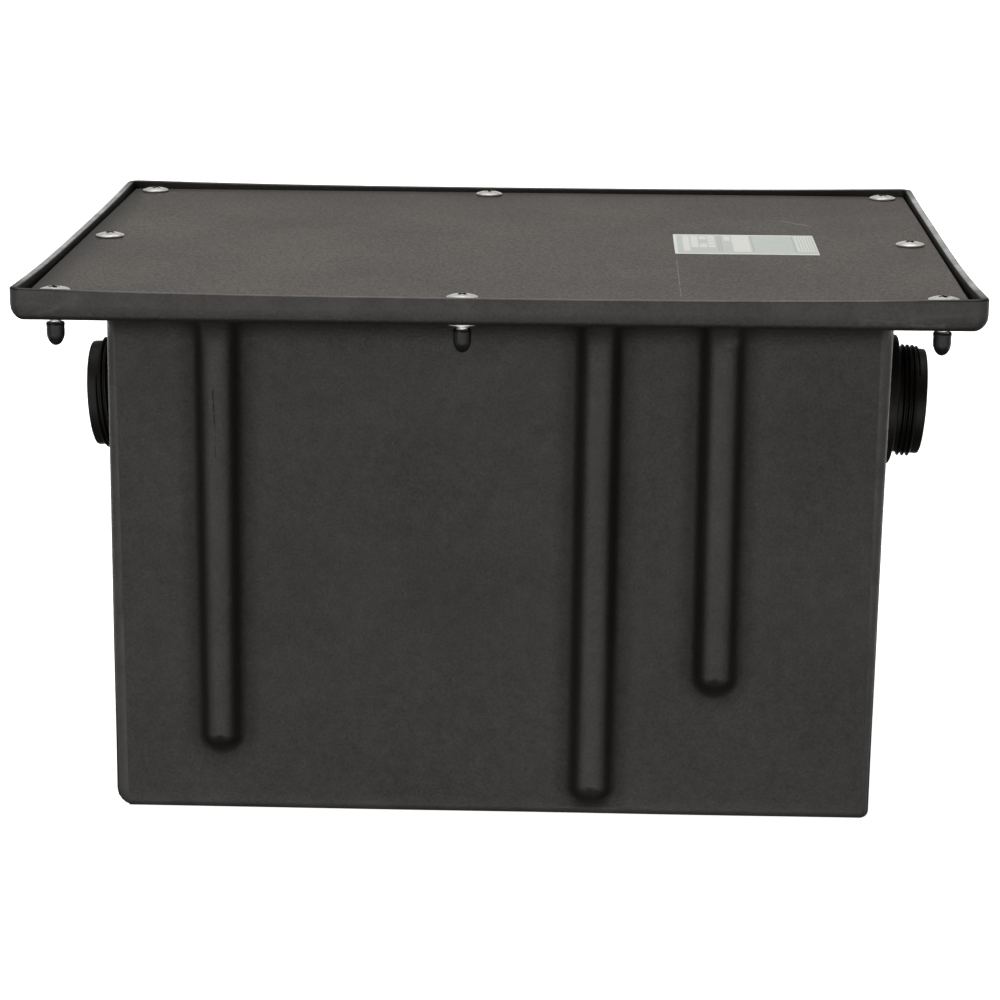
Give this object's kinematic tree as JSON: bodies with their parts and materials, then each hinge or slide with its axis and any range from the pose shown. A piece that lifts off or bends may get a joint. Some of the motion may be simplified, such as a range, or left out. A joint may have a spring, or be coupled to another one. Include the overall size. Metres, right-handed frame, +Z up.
{
  "type": "grease trap",
  "caption": "Under-sink moulded plastic grease trap: drafted ribbed tank with a wide lipped rim, screwed flat cover, lift-out baffles and male threaded pipe stubs at both ends.",
  "frame": {"origin": "centre of the tank's base, on the surface it stands on", "axes": "+X from the inlet to the outlet, +Y from the front to the back, +Z up"},
  "size_m": [0.46, 0.36, 0.2745],
  "materials": {
    "tank_plastic": "rotomoulded polyethylene, charcoal, satin with fine grain",
    "cover_plastic": "moulded sheet, brown-grey, fine matte grain",
    "gasket_rubber": "matte black sheet rubber",
    "label_foil": "satin foil, bare",
    "screw_steel": "bright stainless steel",
    "cap_vinyl": "dipped black vinyl, glossy",
    "stub_plastic": "injection moulded black, semi gloss",
    "baffle_plastic": "moulded sheet, dark grey, satin"
  },
  "bodies": {
    "tank": {"tank": "tank_plastic", "cover_gasket": "gasket_rubber", "tee_nuts": "screw_steel", "screw_caps": "cap_vinyl", "inlet_stub": "stub_plastic", "outlet_stub": "stub_plastic", "inlet_gasket": "gasket_rubber", "outlet_gasket": "gasket_rubber", "inlet_locknut": "stub_plastic", "outlet_locknut": "stub_plastic", "inlet_baffle": "baffle_plastic", "centre_baffle": "baffle_plastic", "outlet_baffle": "baffle_plastic"},
    "cover": {"cover": "cover_plastic", "cover_screws": "screw_steel", "rating_label": "label_foil"}
  },
  "joints": [
    {"name": "cover_lift", "type": "slide", "parent": "tank", "child": "cover", "axis": [0, 0, 1], "range_m": [0, 0.3]}
  ]
}
